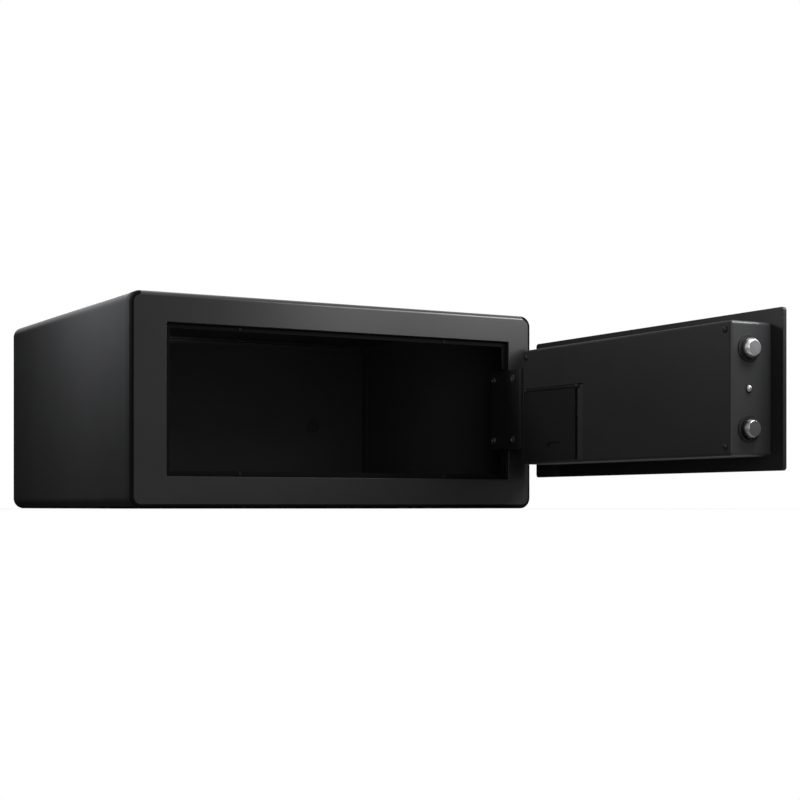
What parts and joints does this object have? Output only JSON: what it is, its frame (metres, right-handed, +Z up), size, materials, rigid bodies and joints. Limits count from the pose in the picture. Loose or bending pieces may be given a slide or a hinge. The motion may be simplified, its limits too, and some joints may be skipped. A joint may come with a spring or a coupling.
{
  "type": "biometric safe",
  "caption": "Low wide steel safe with its door open, goose-neck hinge, motor-driven round bolts on a rack, fingerprint reader, key override and battery compartment in the door casing.",
  "frame": {"origin": "centre of the base, on the surface it stands on", "axes": "+X right along the front, +Y from the front to the back, +Z up; the door opens towards -Y"},
  "size_m": [0.466, 0.7495, 0.2],
  "materials": {
    "body_paint": "satin black powder coat",
    "frame_paint": "satin black powder coat",
    "casing_paint": "smooth black powder coat",
    "mat_felt": "needled felt",
    "bright_steel": "bright zinc",
    "sheet_zinc": "zinc-plated sheet",
    "black_plastic": "fine-textured",
    "gloss_black": "gloss",
    "white_plastic": "acetal",
    "rubber": "matt",
    "brass": "cut gear",
    "board_green": "solder mask",
    "sensor_glass": "polished",
    "clear_lens": "frosted",
    "cell_jacket": "foil jacket",
    "button_red": "moulded",
    "cable_black": "insulation"
  },
  "bodies": {
    "body": {"body_shell": "body_paint", "front_frame": "frame_paint", "door_stop": "casing_paint", "door_bumpers": "rubber", "back_panel": "body_paint", "floor_mat": "mat_felt", "strike_plate": "frame_paint", "hinge_bracket": "frame_paint", "hinge_pin": "bright_steel", "hinge_washers": "white_plastic"},
    "door": {"door_plate": "frame_paint", "inner_cover": "casing_paint", "cover_posts": "bright_steel", "inner_cover_screws": "bright_steel", "hinge_leaf": "frame_paint", "hinge_arm": "frame_paint", "hinge_screws": "bright_steel", "hinge_studs": "bright_steel", "bolt_guide": "sheet_zinc", "bolt_bushes": "black_plastic", "drive_motor": "sheet_zinc", "motor_bracket": "sheet_zinc", "motor_screws": "bright_steel", "control_board": "board_green", "board_parts": "black_plastic", "board_standoffs": "bright_steel", "buzzer": "black_plastic", "reader_housing": "gloss_black", "reader_window": "sensor_glass", "reader_module": "board_green", "indicator_lenses": "clear_lens", "door_pull": "sheet_zinc", "pull_nut": "bright_steel", "key_barrel": "sheet_zinc", "key_nut": "bright_steel", "key_cover_pin": "bright_steel", "battery_tray": "black_plastic", "batteries": "cell_jacket", "battery_contacts": "bright_steel", "battery_cover_pins": "bright_steel", "enrol_switch": "black_plastic", "switch_body": "white_plastic", "plunger_spring": "bright_steel", "wiring": "cable_black"},
    "bolts": {"locking_bolt_upper": "bright_steel", "locking_bolt_lower": "bright_steel", "bolt_carriage": "sheet_zinc", "bolt_screws": "sheet_zinc"},
    "pinion": {"drive_pinion": "brass", "motor_shaft": "bright_steel"},
    "plunger": {"door_switch_plunger": "bright_steel"},
    "battery_cover": {"battery_cover": "casing_paint"},
    "enrol_button": {"enrol_button": "button_red"},
    "key_cover": {"key_cover": "sheet_zinc"},
    "key_plug": {"key_plug": "bright_steel"}
  },
  "joints": [
    {"name": "door_swing", "type": "hinge", "parent": "body", "child": "door", "pos_m": [0.211, -0.174, 0.101], "axis": [0, 0, -1], "range_deg": [0, 90]},
    {"name": "bolt_throw", "type": "slide", "parent": "door", "child": "bolts", "axis": [0, -1, 0], "range_m": [0, 0.022]},
    {"name": "pinion_spin", "type": "hinge", "parent": "door", "child": "pinion", "pos_m": [0.204, -0.4365, 0.101], "axis": [0, 0, 1], "range_deg": [0, 140.2]},
    {"name": "plunger_press", "type": "slide", "parent": "door", "child": "plunger", "axis": [0, 1, 0], "range_m": [0, 0.0025], "stiffness_N_per_m": 150, "springref_m": -0.003, "deforming": ["plunger_spring"]},
    {"name": "battery_cover_open", "type": "hinge", "parent": "door", "child": "battery_cover", "pos_m": [0.1755, -0.2855, 0.1171], "axis": [0, 1, 0], "range_deg": [0, 110]},
    {"name": "enrol_button_press", "type": "slide", "parent": "door", "child": "enrol_button", "axis": [1, 0, 0], "range_m": [0, 0.0015], "stiffness_N_per_m": 200, "springref_m": -0.001},
    {"name": "key_cover_swing", "type": "hinge", "parent": "door", "child": "key_cover", "pos_m": [0.2276, -0.4125, 0.086], "axis": [1, 0, 0], "range_deg": [0, 110]},
    {"name": "key_plug_turn", "type": "hinge", "parent": "door", "child": "key_plug", "pos_m": [0.212, -0.4125, 0.069], "axis": [-1, 0, 0], "range_deg": [0, 90]}
  ],
  "couplings": [
    {"joint": "pinion_spin", "follows": "bolt_throw", "rad_per_m": 111.11}
  ]
}
